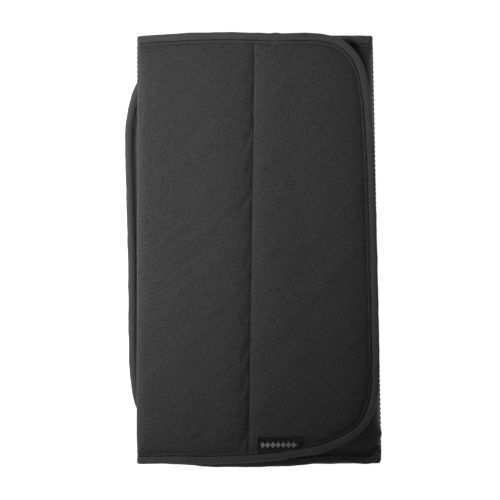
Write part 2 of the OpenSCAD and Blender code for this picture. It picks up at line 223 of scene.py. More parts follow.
# ---- Outer cloth and lining ----
# Woven polyester, charcoal outside and a smoother blue-grey inside, laid over wadding and sewn down at the
# seams and in the binding. Cut slightly large, so the wadding swells it and the sewing puckers it.
TAPE_W = 10.0
STITCH = 4.5
SEAM_SWELL, EDGE_SWELL = 32.0, 22.0  # how far from a seam and from the binding the filling is full
CLOTH_T = 0.45
FLAT_TURN, FULL_TURN = 2.5, 8.2  # how round a cloth turns at a fold, at the bound edge and where it is filled


def swell(distance, width):
    """How a filled cloth rises from where it is sewn down, from 0 to 1."""
    left = 1 - np.clip(distance / width, 0, 1)
    return np.sqrt(1 - left**2)


def waves(x, y, size, seed):
    """A smooth uneven field between about -1 and 1, with lumps about as large as size."""
    r = np.random.default_rng(seed)
    total = 0 * x
    for _ in range(7):
        a, k = r.uniform(0, 2 * math.pi), r.uniform(0.6, 1.5) * 2 * math.pi / size
        p = r.uniform(0, 2 * math.pi)
        total = total + np.sin(k * (x * math.cos(a) + y * math.sin(a)) + p)
    return total / 3.2


def far_from(points, line):
    """How far each point of a grid is from a line."""
    flat = points.reshape(-1, 2)
    out = np.full(len(flat), 1e9)
    for k in range(0, len(line), 60):
        part = line[k:k + 60]
        out = np.minimum(out, ((flat[:, None] - part[None]) ** 2).sum(2).min(1))
    return np.sqrt(out).reshape(points.shape[:2])


def quilted(panel, xy, up):
    """The two cloths' points over a plan; up picks the upper (1) or the lower (-1) one."""
    x, y = xy[..., 0], xy[..., 1]
    edge = far_from(xy, panel.edge)
    rise = swell(edge - TAPE_W - 0.7, EDGE_SWELL)
    beside = x - line_x(panel.seam, y)
    pinch = 1 - 0.4 * (beside > 0)
    half = 0.35 + (PANEL_T / 2 - 0.35) * swell(np.abs(beside) - 1.1, SEAM_SWELL * pinch)
    band = panel.band_height(x)
    free = 1.0 if panel.mid == FLAP_Z and up > 0 else 0.35  # the other cloths are pressed
    lumps = 0.75 * waves(0.6 * x, y - 0.5 * x, 46, 5 + up) + 0.34 * waves(0.5 * x, y - 0.6 * x, 18, 8 + up)
    lumps = lumps * free * rise * np.clip(half / 4 - 0.1, 0, 1)
    z = band + up * 0.5 + (panel.mid + up * half - band - up * 0.5) * rise + up * lumps
    out_x = x.copy()
    for fold, fold_z, side, way in panel.folds:
        d = np.abs(x - line_x(fold, y))
        if side == up:
            r = FLAT_TURN + (FULL_TURN - FLAT_TURN) * rise
            turn = fold_z + up * r * swell(d, r)
            z = np.where(d < r, (np.minimum if up > 0 else np.maximum)(z, turn), z)
            bulge = fold_bulge(fold, y) * rise
            height = np.clip(np.abs(z - fold_z) / FULL_TURN, 0, 1)
            out_x = out_x + way * bulge * np.sin(math.pi * height) * (d < FULL_TURN)
        else:
            near = np.clip(1 - d / 3, 0, 1) ** 2
            z = z * (1 - near) + fold_z * near
    z = z + up * free * puckers(beside, y, up) * rise
    z = z - edge_droop(panel, x) * np.clip((edge - 3.6) / 5, 0, 1.2) ** 1.5 * (1 - rise)
    return np.stack([out_x, y, z], axis=2)


def edge_droop(panel, x):
    """How far the bound edge of the base's tip rolls down towards the fold that lies over it."""
    return 3.0 * np.clip((-x - 84) / 24, 0, 1) if panel is base else 0.0 * x


def fold_bulge(fold, y):
    """How far the filled cloth swells out past the fold's own line of stitches."""
    if fold == "left_fold":
        return 1.3 - 0.5 * y / 200
    gathered = np.exp(-((y - 112) / 34) ** 4) + np.exp(-((y + 160) / 28) ** 4)
    lump = 2.6 * np.exp(-((y + 177) / 6) ** 2)
    return 0.35 * gathered * np.abs(np.sin(math.pi * y / STITCH)) + lump - 0.4


def puckers(beside, y, up):
    """What the quilting pulls in: a dip at each stitch, and slanting hollows and creases beside it."""
    at_stitch = 0.5 + 0.5 * np.cos(2 * math.pi * y / STITCH)
    out = -0.3 * np.exp(-((np.abs(beside) - 1.6) / 1.5) ** 2) * at_stitch
    r = np.random.default_rng(41 + up)
    place = -184.0
    while place < 186:
        strength, slant = r.uniform(0.4, 1.0), r.uniform(0.15, 0.7)
        length, off = r.uniform(7, 17), r.uniform(3.5, 5.5)
        along_it = ((y - place) + slant * (beside + off)) / math.hypot(1, slant)
        across = ((beside + off) - slant * (y - place)) / math.hypot(1, slant)
        out = out - 1.9 * strength * np.exp(-(along_it / length) ** 2 - (across / 2.6) ** 2)
        side = ((beside - 4.5) - 0.6 * (y - place - 11)) / 1.17
        over = ((y - place - 11) + 0.6 * (beside - 4.5)) / 1.17
        out = out - 0.35 * strength * np.exp(-(side / 4.0) ** 2 - (over / 1.8) ** 2)
        slope, reach = r.uniform(0.3, 0.65), r.uniform(14, 34)
        far = r.uniform(20, 75)
        crease = ((y - place) - slope * (beside + far)) / math.hypot(1, slope)
        by = ((beside + far) + slope * (y - place)) / math.hypot(1, slope)
        out = out - 1.2 * strength * np.exp(-(by / reach) ** 2 - (crease / 3.4) ** 2)
        place += r.uniform(20, 34)
    return out


def ticks(length, coarse):
    """Places across a width, close together at its sewn ends and further apart between."""
    out = [0.0]
    while out[-1] < length:
        near = min(out[-1], length - out[-1])
        out.append(out[-1] + min(0.8 + 0.13 * near, coarse))
    return np.array(out) / out[-1]


def cubic(shares, count):
    """The weights that carry values on count even places over to other places, smoothly."""
    t = np.array(shares) * (count - 1)
    i = np.clip(np.floor(t).astype(int), 0, count - 2)
    f = t - i
    weights = [-0.5 * f**3 + f**2 - 0.5 * f, 1.5 * f**3 - 2.5 * f**2 + 1, -1.5 * f**3 + 2 * f**2 + 0.5 * f,
               0.5 * f**3 - 0.5 * f**2]
    out = np.zeros((len(t), count))
    for k, w in enumerate(weights):
        np.add.at(out, (np.arange(len(t)), np.clip(i - 1 + k, 0, count - 1)), w)
    return out


def grid_faces(rows, cols, up, start=0):
    """The four-sided faces of a grid of points. up is the side they face."""
    k = start + np.arange(rows * cols).reshape(rows, cols)
    quads = np.stack([k[:-1, :-1], k[:-1, 1:], k[1:, 1:], k[1:, :-1]], axis=-1).reshape(-1, 4)
    return quads if up > 0 else quads[:, ::-1]


def mesh_piece(name, points, faces, material, cut=None, flat_faces=()):
    """A piece from points in millimetres. cut is each point's place on the flat cloth or tape."""
    mesh = bpy.data.meshes.new(name)
    points_m = (np.array(points).reshape(-1, 3) * MM).tolist()
    mesh.from_pydata(points_m, [], [list(map(int, face)) for face in faces])
    if cut is not None:
        corner = np.zeros(len(mesh.loops), int)
        mesh.loops.foreach_get("vertex_index", corner)
        flat = np.array(cut).reshape(-1, 2)[corner] * MM
        mesh.uv_layers.new(name="Cut").data.foreach_set("uv", flat.ravel())
    mesh.materials.append(material)
    smooth = np.ones(len(mesh.polygons), bool)
    smooth[list(flat_faces)] = False
    mesh.polygons.foreach_set("use_smooth", smooth)
    mesh.update()
    piece = bpy.data.objects.new(name, mesh)
    bpy.context.scene.collection.objects.link(piece)
    return piece


CAP = 1.3  # how far settling may move any point
SIM_SIZE = 10  # the bag settles at ten times its size
SIM_STEPS = 20
LOOSE = 0.36  # how firmly the pattern holds the cloth where it isn't sewn


def filled_out(panel, part):
    """Sews one chamber's two cloths shut, fills it and lets them settle: how far each point then moves."""
    cols, rows = 31, 104
    us, vs = np.linspace(0, 1, cols), np.linspace(0, 1, rows)
    xy = patch(*panel.parts[part], us, vs)
    both = [quilted(panel, xy, up) for up in (1, -1)]
    points = np.concatenate([b.reshape(-1, 3) for b in both])
    faces = np.vstack([grid_faces(rows, cols, 1), grid_faces(rows, cols, -1, rows * cols)])
    mesh = bpy.data.meshes.new("settling")
    mesh.from_pydata((points * MM * SIM_SIZE).tolist(), [], faces.tolist())
    bag = bpy.data.objects.new("settling", mesh)
    bpy.context.scene.collection.objects.link(bag)
    edge = far_from(xy, panel.edge)
    beside = np.abs(xy[..., 0] - line_x(panel.seam, xy[..., 1]))
    held = (edge < TAPE_W + 1) | (beside < 1.0)
    held[:, [0, -1]] = True
    held[[0, -1]] = True
    for fold in panel.folds:
        held |= np.abs(xy[..., 0] - line_x(fold[0], xy[..., 1])) < 1.5
    sewn = np.concatenate([held.ravel()] * 2)
    group = bag.vertex_groups.new(name="sewn")
    group.add(np.nonzero(sewn)[0].tolist(), 1.0, "REPLACE")
    group.add(np.nonzero(~sewn)[0].tolist(), LOOSE, "REPLACE")
    bag.shape_key_add(name="Basis")
    key = bag.shape_key_add(name="cut")
    r = np.random.default_rng(77 + part)
    ease = 1 + 0.06 * np.exp(-np.minimum(beside, np.maximum(edge - TAPE_W, 0)) / 16)
    ease = np.concatenate([ease.ravel()] * 2)
    slant = np.concatenate([(0.12 * np.exp(-beside / 14)).ravel()] * 2)
    wide = points.copy()
    wide[:, 1] = points[:, 1] * ease + slant * points[:, 0]
    wide[:, 0] = points[:, 0] * 1.006
    wide += r.normal(0, 0.08, wide.shape)
    key.data.foreach_set("co", (wide * MM * SIM_SIZE).ravel())
    cloth = bag.modifiers.new("settle", "CLOTH")
    s = cloth.settings
    s.quality, s.mass, s.air_damping = 6, 0.15, 4.0
    s.tension_stiffness = s.compression_stiffness = 12.0
    s.shear_stiffness, s.bending_stiffness = 6.0, 0.12
    s.vertex_group_mass, s.pin_stiffness = "sewn", 1.0
    s.rest_shape_key = key
    s.use_pressure, s.uniform_pressure_force = True, 2.0
    s.effector_weights.gravity = 0
    cloth.collision_settings.use_collision = cloth.collision_settings.use_self_collision = False
    cloth.point_cache.frame_start, cloth.point_cache.frame_end = 1, SIM_STEPS
    for number in range(1, SIM_STEPS + 1):
        bpy.context.scene.frame_set(number)
    done = bag.evaluated_get(bpy.context.evaluated_depsgraph_get()).data
    after = np.zeros(len(points) * 3)
    done.vertices.foreach_get("co", after)
    moved = after.reshape(-1, 3) / (MM * SIM_SIZE) - points
    far = np.linalg.norm(moved, axis=1)[:, None]
    moved *= np.minimum(1, CAP / np.maximum(far, 1e-9))
    moved[sewn] = 0
    bpy.data.objects.remove(bag)
    bpy.data.meshes.remove(mesh)
    bpy.context.scene.frame_set(1)
    return [m.reshape(rows, cols, 3) for m in np.split(moved, 2)]


class Value:
    """A value inside a material, so that its maths reads as ordinary sums."""

    def __init__(self, finish, socket):
        self.finish, self.socket = finish, socket

    def sum(self, kind, a, b):
        return self.finish.node("ShaderNodeMath", {"operation": kind}, {0: a, 1: b})

    def __add__(self, other):
        return self.sum("ADD", self, other)

    def __sub__(self, other):
        return self.sum("SUBTRACT", self, other)

    def __rsub__(self, other):
        return self.sum("SUBTRACT", other, self)

    def __mul__(self, other):
        return self.sum("MULTIPLY", self, other)

    __radd__, __rmul__ = __add__, __mul__

    def sin(self):
        return self.sum("SINE", self, 0)

    def above(self, other):
        return self.sum("GREATER_THAN", self, other)

    def size(self):
        return self.sum("ABSOLUTE", self, 0)


class Finish:
    """A material that is being mixed."""

    def __init__(self, name, **constant):
        self.material = bpy.data.materials.new(name)
        self.material.use_nodes = True
        self.tree = self.material.node_tree
        self.shader = self.tree.nodes["Principled BSDF"]
        for socket, value in constant.items():
            self.shader.inputs[socket.replace("_", " ")].default_value = value

    def node(self, kind, settings=None, values=None, out=0):
        """Adds one node: its settings first, then its values or links."""
        node = self.tree.nodes.new(kind)
        for name, value in (settings or {}).items():
            setattr(node, name, value)
        for name, value in (values or {}).items():
            self.put(value, node.inputs[name])
        return Value(self, node.outputs[out])

    def put(self, value, socket):
        if isinstance(value, Value):
            self.tree.links.new(value.socket, socket)
        else:
            socket.default_value = value

    def feed(self, **values):
        for name, value in values.items():
            self.put(value, self.shader.inputs[name.replace("_", " ")])

    def cut(self):
        """The piece's own flat pattern, in millimetres."""
        flat = self.node("ShaderNodeUVMap", {"uv_map": "Cut"})
        return self.node("ShaderNodeVectorMath", {"operation": "SCALE"}, {0: flat, "Scale": 1 / MM})

    def across(self, vector):
        parts = self.node("ShaderNodeSeparateXYZ", None, {0: vector})
        return parts, Value(self, parts.socket.node.outputs[1])

    def noise(self, vector, stretch, scale, detail=2.0):
        drawn = self.node("ShaderNodeVectorMath", {"operation": "MULTIPLY"}, {0: vector, 1: stretch})
        return self.node("ShaderNodeTexNoise", None, {"Vector": drawn, "Scale": scale, "Detail": detail})

    def mix(self, share, a, b):
        """A colour between a and b."""
        return self.node("ShaderNodeMix", {"data_type": "RGBA"}, {0: share, 6: (*a, 1), 7: (*b, 1)}, out=2)

    def bump(self, height, distance):
        return self.node("ShaderNodeBump", None, {"Height": height, "Distance": distance, "Strength": 1.0})


def woven(name, dark, light, yarn, rough, sheen, depth):
    """A plain weave of spun yarns, a little uneven in colour from yarn to yarn."""
    f = Finish(name, Sheen_Weight=sheen, Sheen_Roughness=0.45, Specular_IOR_Level=0.35)
    f.shader.inputs["Sheen Tint"].default_value = (0.9, 0.92, 0.95, 1)
    flat = f.cut()
    x, y = f.across(flat)
    a, b = (x * (math.pi / yarn)).sin(), (y * (math.pi / yarn)).sin()
    over = (x * (math.pi / yarn) + math.pi / 2).sin() * (y * (math.pi / yarn) + math.pi / 2).sin()
    weave = (a * a) * (0.5 + 0.5 * over) + (b * b) * (0.5 - 0.5 * over)
    warp, weft = f.noise(flat, (1.0, 0.08, 1), 1.6), f.noise(flat, (0.08, 1.0, 1), 1.6)
    slubs = f.noise(flat, (1, 1, 1), 0.6, 5.0)
    uneven = 0.5 * warp + 0.5 * weft + 0.9 * slubs - 0.95
    f.feed(Base_Color=f.mix(0.5 + 2.4 * uneven + 0.3 * (weave - 0.5), dark, light),
           Roughness=rough + 0.25 * uneven, Normal=f.bump(weave + 0.8 * uneven, depth * MM))
    return f.material


outer_cloth = woven("charcoal_outer_cloth", (0.0235, 0.0233, 0.0235), (0.077, 0.076, 0.077),
                    yarn=0.55, rough=0.82, sheen=0.15, depth=0.16)
lining_cloth = woven("blue_grey_lining", (0.031, 0.0315, 0.0335), (0.062, 0.0625, 0.0655),
                     yarn=0.34, rough=0.62, sheen=0.15, depth=0.07)
TABLE_Z = 0.1  # the cloths lie flat on the table
CHAMBER_W = 112
FULLNESS, AREA_FULLNESS = 1.04, 1.05  # how much larger than its plan a cloth is cut, for the wadding


def cloth_piece(name, panel, parts, moved, up, material, body, rests_on, coarse, rows, node):
    """One body's upper or lower cloth, over one or both of its panel's parts."""
    vs = np.linspace(0, 1, rows)
    grids = []
    for k in parts:
        us = ticks(CHAMBER_W, coarse)
        settled = moved[k][0 if up > 0 else 1]
        shift = np.einsum("ij,jkc,lk->ilc", cubic(vs, settled.shape[0]), settled, cubic(us, settled.shape[1]))
        xy = patch(*panel.parts[k], us, vs)
        grids.append((quilted(panel, xy, up) + shift)[:, 0 if k == parts[0] else 1:])
    points = np.concatenate(grids, axis=1)
    points[..., 2] = np.maximum(points[..., 2], TABLE_Z)
    steps_x = np.linalg.norm(np.diff(points, axis=1), axis=2)
    steps_y = np.linalg.norm(np.diff(points, axis=0), axis=2)
    cut = np.stack([np.pad(np.cumsum(steps_x, axis=1), ((0, 0), (1, 0))),
                    np.pad(np.cumsum(steps_y, axis=0), ((1, 0), (0, 0)))], axis=2)
    cut[..., 0] += points[:, :1, 0]
    piece = mesh_piece(name, points, grid_faces(*points.shape[:2], up), material, cut)
    solid = piece.modifiers.new("cloth_thickness", "SOLIDIFY")
    solid.thickness, solid.offset = CLOTH_T * MM, -1
    plan = points[..., :2]
    e1, e2 = plan[1:, :-1] - plan[:-1, :-1], plan[:-1, 1:] - plan[:-1, :-1]
    area = float(np.abs(e1[..., 0] * e2[..., 1] - e1[..., 1] * e2[..., 0]).sum()) * MM * MM * AREA_FULLNESS
    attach(piece, body)
    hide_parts(node)
    return piece


SHOWN, UNDER = dict(coarse=2.6, rows=330), dict(coarse=4.0, rows=165)
moved = {id(panel): [filled_out(panel, part) for part in (0, 1)] for panel in (base, middle, flap)}
waddings = {"base": ["base_wadding_inner", "base_wadding_tip"],
            "middle": ["middle_wadding_left", "middle_wadding_right"]}
cloth_piece("base_cover_cloth", base, (0, 1), moved[id(base)], 1, outer_cloth, "base_panel",
            waddings["base"], node="base_outer_cover", **SHOWN)
cloth_piece("base_lining_cloth", base, (0, 1), moved[id(base)], -1, lining_cloth, "base_panel",
            waddings["base"], node="base_lining", **UNDER)
cloth_piece("middle_cover_cloth", middle, (0, 1), moved[id(middle)], -1, outer_cloth, "middle_panel",
            waddings["middle"], node="middle_outer_cover", **UNDER)
cloth_piece("middle_lining_cloth", middle, (0, 1), moved[id(middle)], 1, lining_cloth, "middle_panel",
            waddings["middle"], node="middle_lining", **SHOWN)
for name, part, body in (("flap_inner", 0, "flap"), ("flap_tip", 1, "flap_tip")):
    top = cloth_piece(name + "_cover_cloth", flap, (part,), moved[id(flap)], 1, outer_cloth, body,
                      [name + "_wadding"], node=name + "_cover", **SHOWN)
    cloth_piece(name + "_lining_cloth", flap, (part,), moved[id(flap)], -1, lining_cloth, body,
                [name + "_wadding"], node=name + "_lining", **UNDER)

# ---- Wadding ----
# White polyester fibre, one soft batt in each quilted chamber between the outer cloth and the lining.
# The seams and the binding hold it; nothing else does.
fibre = Finish("white_fibre", Roughness=0.95, Sheen_Weight=0.3, Specular_IOR_Level=0.1)
strand = fibre.noise(fibre.cut(), (1, 1, 1), 0.35, 6.0)
fibre.feed(Base_Color=fibre.mix(strand, (0.62, 0.62, 0.60), (0.86, 0.86, 0.84)),
           Normal=fibre.bump(strand, 1.2 * MM))
BATT_UNDER, BATT_THIN = 1.5, 0.12  # how far below the cloths a batt stays, and half its least thickness


def batt(name, panel, part, body, node, start=0.05):
    """One chamber's batt, short of the sewn edges. start is where it begins across the chamber."""
    us, vs = np.linspace(start, 0.95, 40), np.linspace(0.05, 0.95, 100)
    xy = patch(*panel.parts[part], us, vs)
    high, low = (quilted(panel, xy, up) for up in (1, -1))
    middle_z = (high[..., 2] + low[..., 2]) / 2
    half = np.clip((high[..., 2] - low[..., 2]) / 2 - BATT_UNDER, BATT_THIN, None)
    high[..., :2], low[..., :2] = xy, xy
    high[..., 2], low[..., 2] = middle_z + half, middle_z - half
    rows, cols = xy.shape[:2]
    k = np.arange(rows * cols).reshape(rows, cols)
    rim = np.concatenate([k[0], k[1:, -1], k[-1, -2::-1], k[-2:0:-1, 0]])
    after = np.roll(rim, -1)
    side = np.stack([rim, rim + k.size, after + k.size, after], axis=1)
    points = np.concatenate([high.reshape(-1, 3), low.reshape(-1, 3)])
    faces = np.vstack([grid_faces(rows, cols, 1), grid_faces(rows, cols, -1, k.size), side])
    piece = mesh_piece(name, points, faces, fibre.material, points[:, :2])
    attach(piece, body)
    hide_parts(node)


batt("base_tip_batt", base, 0, "base_panel", "base_wadding_tip", start=0.13)
batt("base_inner_batt", base, 1, "base_panel", "base_wadding_inner")
batt("middle_left_batt", middle, 0, "middle_panel", "middle_wadding_left")
batt("middle_right_batt", middle, 1, "middle_panel", "middle_wadding_right")
batt("flap_inner_batt", flap, 0, "flap", "flap_inner_wadding")
batt("flap_tip_batt", flap, 1, "flap_tip", "flap_tip_wadding")

# ---- Edge binding ----
# Polyester bias tape, folded in half over the mat's raw edge with its own edges turned under and stitched
# through. It goes round each fold of the mat in one piece, and its two ends lap at the join.
TAPE_HALF = 1.25  # half the folded tape's thickness at its round outer edge
TAPE_IN = 0.56  # half the gap inside it, for the mat's raw edge
STITCH_IN = TAPE_W - 2.5
SECTION_STEP = 1.05
tape_finish = Finish("charcoal_bias_tape", Sheen_Weight=0.15, Sheen_Roughness=0.4, Specular_IOR_Level=0.4)
tape_flat = tape_finish.cut()
tape_x, tape_y = tape_finish.across(tape_flat)
TWILL = 0.62
diagonal = ((tape_x + tape_y) * (math.pi / TWILL)).sin()
cross = ((tape_x - tape_y) * (math.pi / TWILL)).sin()
rib = diagonal * diagonal * 0.75 + cross * cross * 0.25
tape_uneven = tape_finish.noise(tape_flat, (1, 1, 1), 0.5, 4.0) - 0.5
tape_shade = 0.5 + 1.2 * tape_uneven + 0.5 * (rib - 0.5)
tape_finish.feed(Base_Color=tape_finish.mix(tape_shade, (0.038, 0.0375, 0.038), (0.106, 0.105, 0.106)),
                 Roughness=0.62 + 0.3 * tape_uneven, Normal=tape_finish.bump(rib, 0.16 * MM))


def tape_profile():
    """The folded tape's section: how far in from the mat's edge, and how far above its middle."""
    top = [(TAPE_W - 0.25, 0.62), (TAPE_W, 0.85), (TAPE_W - 0.08, 1.16), (TAPE_W - 0.45, 1.34)]
    top += [(9.05, 0.98), (8.5, 0.88), (8.1, 0.95)]
    top += [(n, 1.33) for n in (7.75, 7.5, 7.25, 6.9, 6.4)]
    top += [(n, 1.28) for n in (5.4, 4.2, 3.0, 2.1)]
    round_end = [(TAPE_HALF - TAPE_HALF * math.cos(a), TAPE_HALF * math.sin(a))
                 for a in np.radians([55, 28, 0, -28, -55])]
    inside = [(TAPE_W - 0.3, -TAPE_IN), (6, -TAPE_IN), (3, -TAPE_IN), (1.3, -0.5), (0.7, 0),
              (1.3, 0.5), (3, TAPE_IN), (6, TAPE_IN), (TAPE_W - 0.3, TAPE_IN)]
    return np.array(top + round_end + [(n, -z) for n, z in top[::-1]] + inside)


PROFILE = tape_profile()
TOP_LINE, UNDER_LINE = (int(np.argmin(np.abs(PROFILE[:, 0] - STITCH_IN) + 9 * (PROFILE[:, 1] * side < 0.9)))
                        for side in (1, -1))
PROFILE_CUT = along(np.vstack([PROFILE, PROFILE[:1]]))


def tape_surface(spine, into, up, s, stitches, rise=0.0, droop=0.0):
    """Sweeps the folded tape along its outer edge. stitches counts the stitches up to each section."""
    n, z = PROFILE[None, :, 0], PROFILE[None, :, 1]
    ends = np.clip(np.minimum(s - s[0], s[-1] - s) / 4, 0, 1)[:, None]
    s, sewn = s[:, None], 0.5 + 0.5 * np.cos(2 * math.pi * stitches)[:, None]
    face = np.sign(z) * np.clip(np.abs(z) - TAPE_IN, 0, 0.1) / 0.1
    at_stitch = np.exp(-((n - STITCH_IN) / 0.8) ** 2)
    ripple = (0.22 * waves(s, n * 2.2, 17, 3) + 0.12 * waves(s, n * 3.0, 6.5, 4)) * ends
    crown = 0.28 * np.sin(math.pi * np.clip(n / STITCH_IN, 0, 1))
    lip = np.clip((n - 8.8) / 1.2, 0, 1)
    z = z + face * (crown - (0.42 + 0.42 * sewn) * at_stitch + 0.5 * ripple + rise)
    z = z + 0.35 * waves(s, 0 * n, 44, 9) * ends
    n = n + (0.2 * waves(s, 0 * n, 14, 12) * (1 - n / TAPE_W) + lip * 0.25 * waves(s, 0 * n, 9, 15)) * ends
    z = z - np.reshape(droop, (-1, 1)) * np.clip((n - 3.6) / 5, 0, 1.2) ** 1.5
    n = n - 0.16 * sewn * lip + rise * (3.2 * lip - 0.9 * np.exp(-n))
    return spine[:, None] + n[..., None] * into[:, None] + z[..., None] * up[:, None]


def tape_piece(name, points, s, body, nodes=(), across=None):
    """One length of tape. across holds a second body and two points by the bend; when it is given, the piece
    is baked in place instead of riding on its body.
    """
    count, around = points.shape[:2]
    k = np.arange(count * around).reshape(count, around)
    turned = np.roll(k, -1, axis=1)
    quads = np.stack([k[:-1], k[1:], turned[1:], turned[:-1]], axis=-1).reshape(-1, 4)
    cut = np.stack(np.broadcast_arrays(s[:, None], PROFILE_CUT[None, :-1]), axis=2)
    faces = quads.tolist() + [k[0].tolist(), k[-1, ::-1].tolist()]
    a, b, c = points[0, 10], points[1, 10], points[0, 11]
    if np.dot(np.cross(b - a, c - a), a - points[0].mean(0)) < 0:
        faces = [face[::-1] for face in faces]
    piece = mesh_piece(name, points, faces, tape_finish.material, cut,
                       flat_faces=(len(faces) - 2, len(faces) - 1))
    if nodes:
        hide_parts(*nodes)
    hold(piece, body, across)


def hold(piece, body, across=None):
    """Rides the piece on its body; when across is given, it only bakes the piece's transform and leaves it
    unattached.
    """
    if across is None:
        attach(piece, body)
    else:
        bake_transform(piece)


runs = {}
FOLD_INSET = 1.5  # how far inside a fold a run of tape ends


def bind(name, outline, panel, cuts, body, nodes=(), lengths=None):
    """Binds a stretch of a panel's edge between the folds where it is cut.

    lengths splits it between bodies, each from one place along it to the next.
    """
    line = outline
    for where, keep in cuts:
        line = cut_at(line, where, keep)
    line = even_line(line, SECTION_STEP)
    spine = np.column_stack([line, panel.band_height(line[:, 0])])
    into = np.column_stack([inward(line), 0 * line[:, 0]])
    up = np.tile([0.0, 0, 1], (len(line), 1))
    s = along(spine)
    stitches = s / s[-1] * round(s[-1] / STITCH)
    run = (spine, into, up, s, stitches)
    surface = tape_surface(*run, droop=edge_droop(panel, line[:, 0]))
    sewn = np.interp(np.arange(round(stitches[-1])) + 0.5, stitches, s)
    runs[name] = (run, surface, sewn)
    on_tape = s + 1000 * len(runs)
    for piece_name, start, stop, on, stands_for, across in lengths or [(name, 0, len(s), body, nodes, None)]:
        tape_piece(piece_name, surface[start:stop], on_tape[start:stop], on, stands_for, across)


LEFT_CUT, RIGHT_CUT = (("left_fold", FOLD_INSET), 1), (("right_fold", -FOLD_INSET), -1)
bind("base_tape", base_outline, base, [RIGHT_CUT], "base_panel", ["base_binding"])
bind("middle_far_tape", middle_far, middle, [LEFT_CUT, RIGHT_CUT], "middle_panel", ["middle_binding_far"])
bind("middle_near_tape", middle_near, middle, [LEFT_CUT, RIGHT_CUT], "middle_panel", ["middle_binding_near"])

# The flap's tape is one length, but it crosses the flap's quilting seam twice and bends there.
SEAM_SPAN, BEND = 6.0, 4.4  # half of what crosses the seam, and half of what bends in it
FAR_END, NEAR_END = 208.0, -204.0
flap_line = even_line(cut_at(flap_outline, *LEFT_CUT), SECTION_STEP)
beyond = flap_line[:, 0] - line_x("flap_seam", flap_line[:, 1])
is_tip, near_seam = beyond > SEAM_SPAN, np.abs(beyond) <= SEAM_SPAN
tip_from, tip_to = np.nonzero(is_tip)[0][[0, -1]]
far_from_i, near_to_i = np.nonzero(near_seam)[0][[0, -1]]


def bend_at(y):
    """The tip's body, and the two points between which what crosses the flap's seam bends."""
    return ("flap_tip", *[(line_x("flap_seam", y) + shift, y, FLAP_Z) for shift in (-BEND, BEND)])


FLAP_LENGTHS = [
    ("flap_far_tape", 0, far_from_i + 1, "flap", ["flap_inner_binding_far"], None),
    ("flap_seam_far_tape", far_from_i, tip_from + 1, "flap", (), bend_at(FAR_END)),
    ("flap_tip_tape", tip_from, tip_to + 1, "flap_tip", ["flap_tip_binding"], None),
    ("flap_seam_near_tape", tip_to, near_to_i + 1, "flap", (), bend_at(NEAR_END)),
    ("flap_near_tape", near_to_i, len(flap_line), "flap", ["flap_inner_binding_near"], None)]
bind("flap_tape", flap_outline, flap, [LEFT_CUT], "flap", lengths=FLAP_LENGTHS)


def turn_round(name, above, below, fold, fold_z, way, bodies):
    """The tape's short turn round a fold, from the end of the run above it to the end of the run below.

    Each end is a run's name and which of its ends it is.
    """
    (p, a), (q, b) = [(runs[run][0][0][end], runs[run][0][1][end]) for run, end in (above, below)]
    angle = np.linspace(0, math.pi, 15)[:, None]
    share = angle / math.pi
    spine = p + (q - p) * share
    spine[:, 0] += way * 0.5 * np.sin(angle[:, 0])
    spine[:, 2] = fold_z + FOLD_RISE * np.cos(angle[:, 0])
    into = a + (b - a) * share
    up = np.column_stack([way * np.sin(angle[:, 0]), 0 * angle[:, 0], np.cos(angle[:, 0])])
    s = along(spine)
    lower, upper = ([line_x(fold, p[1]), p[1], fold_z + shift] for shift in (-0.5, 0.5))
    tape_piece(name, tape_surface(spine, into, up, s + 5000, 0.5 + 0 * s), s, bodies[0],
               across=(bodies[1], lower, upper))


ROUND_LEFT = ("left_fold", LEFT_Z, -1, ("middle_panel", "flap"))
ROUND_RIGHT = ("right_fold", RIGHT_Z, 1, ("base_panel", "middle_panel"))
turn_round("left_fold_far_tape", ("flap_tape", 0), ("middle_far_tape", 0), *ROUND_LEFT)
turn_round("left_fold_near_tape", ("flap_tape", -1), ("middle_near_tape", -1), *ROUND_LEFT)
turn_round("right_fold_far_tape", ("middle_far_tape", -1), ("base_tape", -1), *ROUND_RIGHT)
turn_round("right_fold_near_tape", ("middle_near_tape", 0), ("base_tape", 0), *ROUND_RIGHT)

# The two ends of the tape lap here: the upper one is folded under and stitched across.
JOIN_START, JOIN_END = 16.8, 25.5
line = cut_at(cut_at(flap_outline[flap_outline[:, 1] > 0], JOIN_START, 1), JOIN_END, -1)
line = even_line(line, 0.5)
spine = np.column_stack([line, flap.band_height(line[:, 0])])
s = along(spine)
LAP_T = 0.42  # how much the lap stands up
rise = np.minimum(np.clip(s / 0.8, 0, 1), np.clip((s[-1] - s) / 2.5, 0, 1))[:, None] * LAP_T
into, up = np.column_stack([inward(line), 0 * s]), np.tile([0.0, 0, 1], (len(s), 1))
join = tape_surface(spine, into, up, s, 0.5 + 0 * s, rise)
tape_piece("tape_join", join, s + 7000, "flap_tip", ["flap_binding_join"])

# ---- Stitching ----
# Black bonded polyester thread in a lockstitch of 4.5 mm: through the binding, along the quilting seams of
# each panel, and along the two folds. Each stitch dips into the cloth at both ends.
THREAD_D, STITCH_ARCH = 0.9, 0.42
STITCH_L = STITCH - 0.9
thread_finish = Finish("black_thread", Roughness=0.55, Specular_IOR_Level=0.25)
TWISTS_PER_M = 9000
twist = (thread_finish.across(thread_finish.node("ShaderNodeTexCoord", out=3))[0] * TWISTS_PER_M).sin()
thread_shade = 0.5 + 0.3 * twist
thread_finish.feed(Base_Color=thread_finish.mix(thread_shade, (0.004, 0.004, 0.0045), (0.012, 0.012, 0.013)),
                   Normal=thread_finish.bump(twist, 0.05 * MM))


